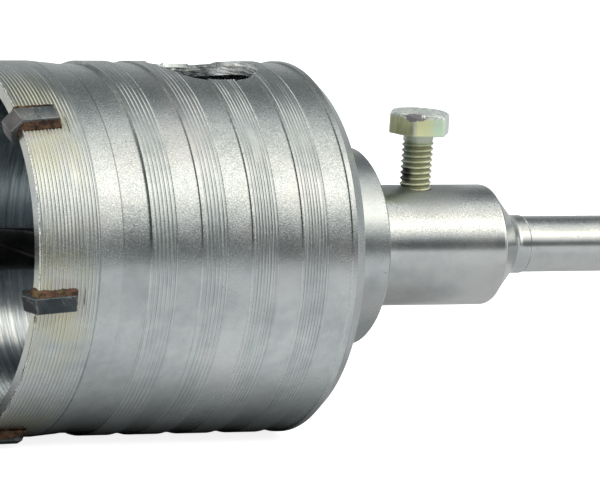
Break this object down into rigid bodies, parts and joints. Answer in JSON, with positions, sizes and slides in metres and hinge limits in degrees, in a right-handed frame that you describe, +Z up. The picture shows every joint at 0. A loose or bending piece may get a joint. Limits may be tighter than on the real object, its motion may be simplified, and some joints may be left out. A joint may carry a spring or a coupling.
{
  "type": "wall core drill bit",
  "caption": "Turned steel cup with brazed carbide tips on its rim, on an arbor with a round slotted shank, a pilot drill and a hex clamp bolt.",
  "frame": {"origin": "on the drill's axis, in the middle of the plain stretch of the shank", "axes": "+X along the drill's axis from the cutting rim to the shank's end, +Z up from the axis through the clamp bolt, the bit lying on its barrel"},
  "size_m": [0.1863, 0.0682, 0.065],
  "materials": {
    "barrel_steel": "bare turned steel with fine circular tool marks",
    "arbor_steel": "bare ground steel",
    "carbide": "matt grey sintered carbide",
    "braze": "dull coppery braze with dark scale",
    "black_steel": "black oxide",
    "zinc_steel": "yellow-passivated zinc"
  },
  "bodies": {
    "root": {"core_barrel": "barrel_steel", "arbor": "arbor_steel", "pilot_drill": "black_steel", "pilot_tip": "carbide", "clamp_bolt": "zinc_steel", "carbide_tip_1": "carbide", "carbide_tip_2": "carbide", "carbide_tip_3": "carbide", "carbide_tip_4": "carbide", "carbide_tip_5": "carbide", "carbide_tip_6": "carbide", "braze_1": "braze", "braze_2": "braze", "braze_3": "braze", "braze_4": "braze", "braze_5": "braze", "braze_6": "braze"}
  },
  "joints": []
}
